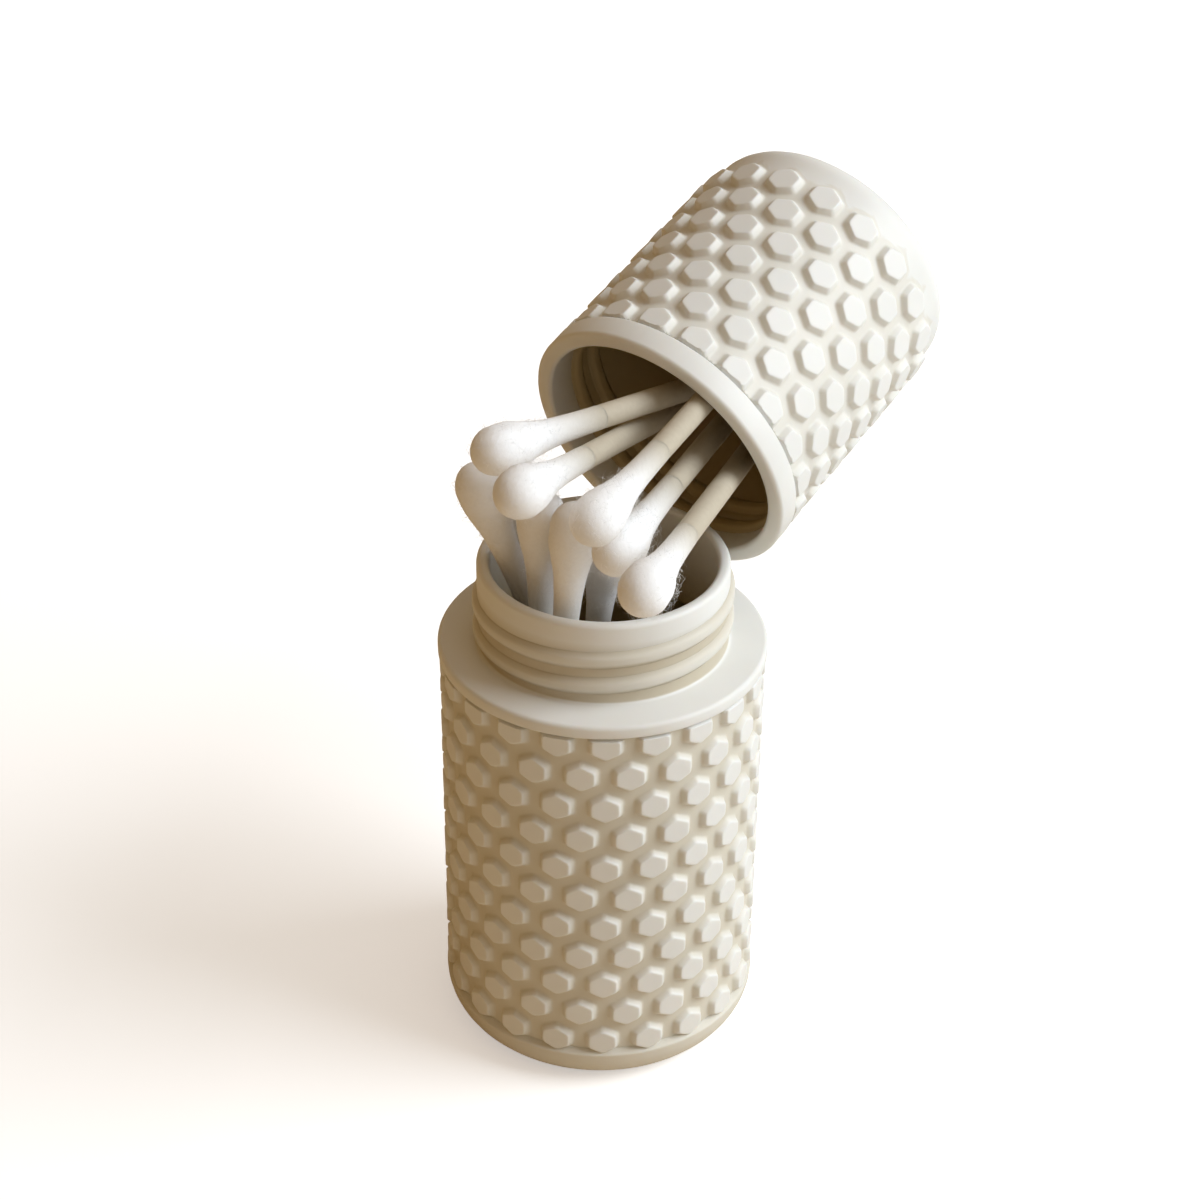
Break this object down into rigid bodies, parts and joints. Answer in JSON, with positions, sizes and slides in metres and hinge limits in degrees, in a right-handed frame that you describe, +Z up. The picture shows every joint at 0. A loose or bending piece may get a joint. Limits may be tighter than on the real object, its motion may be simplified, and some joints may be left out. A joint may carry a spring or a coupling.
{
  "type": "cotton swab holder",
  "caption": "Moulded screw-top holder with raised honeycomb studs: an open jar with a threaded neck, its cap lifted off behind it, and cotton swabs standing in both.",
  "frame": {"origin": "centre of the jar's flat base", "axes": "+Z up the jar's axis, -Y towards the viewer of the picture, +X to the viewer's right"},
  "size_m": [0.0635, 0.0891, 0.105],
  "materials": {
    "cream_plastic": "matte, slightly waxy",
    "stick_paper": "rolled paper, matte",
    "cotton": "wound cotton, soft"
  },
  "bodies": {
    "jar_body": {"jar": "cream_plastic", "jar_swab_1_stick": "stick_paper", "jar_swab_1_inner_tip": "cotton", "jar_swab_1_outer_tip": "cotton", "jar_swab_2_stick": "stick_paper", "jar_swab_2_inner_tip": "cotton", "jar_swab_2_outer_tip": "cotton", "jar_swab_3_stick": "stick_paper", "jar_swab_3_inner_tip": "cotton", "jar_swab_3_outer_tip": "cotton", "jar_swab_4_stick": "stick_paper", "jar_swab_4_inner_tip": "cotton", "jar_swab_4_outer_tip": "cotton"},
    "cap_body": {"cap": "cream_plastic", "cap_swab_1_stick": "stick_paper", "cap_swab_1_inner_tip": "cotton", "cap_swab_1_outer_tip": "cotton", "cap_swab_2_stick": "stick_paper", "cap_swab_2_inner_tip": "cotton", "cap_swab_2_outer_tip": "cotton", "cap_swab_3_stick": "stick_paper", "cap_swab_3_inner_tip": "cotton", "cap_swab_3_outer_tip": "cotton", "cap_swab_4_stick": "stick_paper", "cap_swab_4_inner_tip": "cotton", "cap_swab_4_outer_tip": "cotton", "cap_swab_5_stick": "stick_paper", "cap_swab_5_inner_tip": "cotton", "cap_swab_5_outer_tip": "cotton"}
  },
  "joints": [
    {"name": "cap_lift", "type": "slide", "parent": "jar_body", "child": "cap_body", "axis": [0.5787, 0.7434, 0.3355], "range_m": [0, 0.06]}
  ]
}
